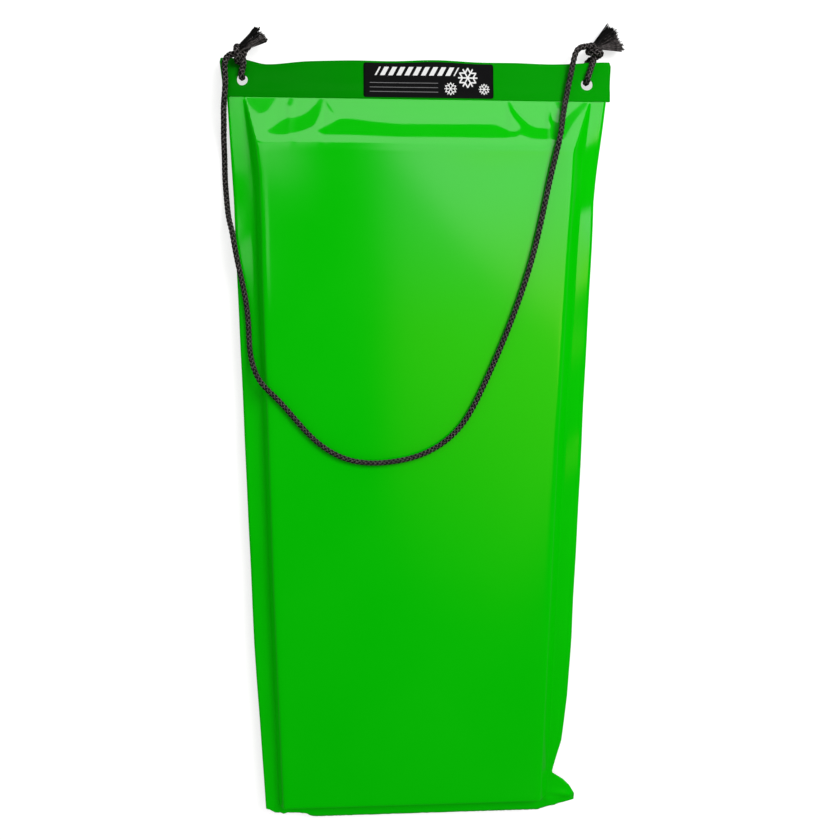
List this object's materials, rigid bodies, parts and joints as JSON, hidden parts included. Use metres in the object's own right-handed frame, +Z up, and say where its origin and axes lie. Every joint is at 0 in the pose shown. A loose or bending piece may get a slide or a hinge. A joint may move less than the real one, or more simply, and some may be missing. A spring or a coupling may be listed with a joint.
{
  "type": "foam snow sled",
  "caption": "Flat foam snow sled: a foam slab welded between glossy films, with a punched header strip, a sticker and a tow rope tied through the corners.",
  "frame": {"origin": "middle of the sled's outline, rope left out, on the ground below it", "axes": "+X across the sled to the right, +Y along it towards the header strip with the tow holes, +Z up, with the riding side on top"},
  "size_m": [0.521, 1.1497, 0.0586],
  "materials": {
    "film": "glossy, fine grain",
    "header_film": "glossy, smooth",
    "foam": "matte closed-cell foam",
    "sticker": "satin print",
    "rope": "braided"
  },
  "bodies": {
    "sled": {"foam_core": "foam", "top_cover": "film", "bottom_cover": "film", "header_strip": "header_film", "label": "sticker", "left_hitch": "rope", "right_hitch": "rope", "left_frayed_end": "rope", "right_frayed_end": "rope"},
    "tow_rope": {"tow_rope": "rope"}
  },
  "joints": [
    {"name": "tow_rope_swing", "type": "hinge", "parent": "sled", "child": "tow_rope", "pos_m": [-0.2252, 0.552, 0.0262], "axis": [-0.9992, -0.0384, 0.0106], "range_deg": [0, 165]}
  ]
}
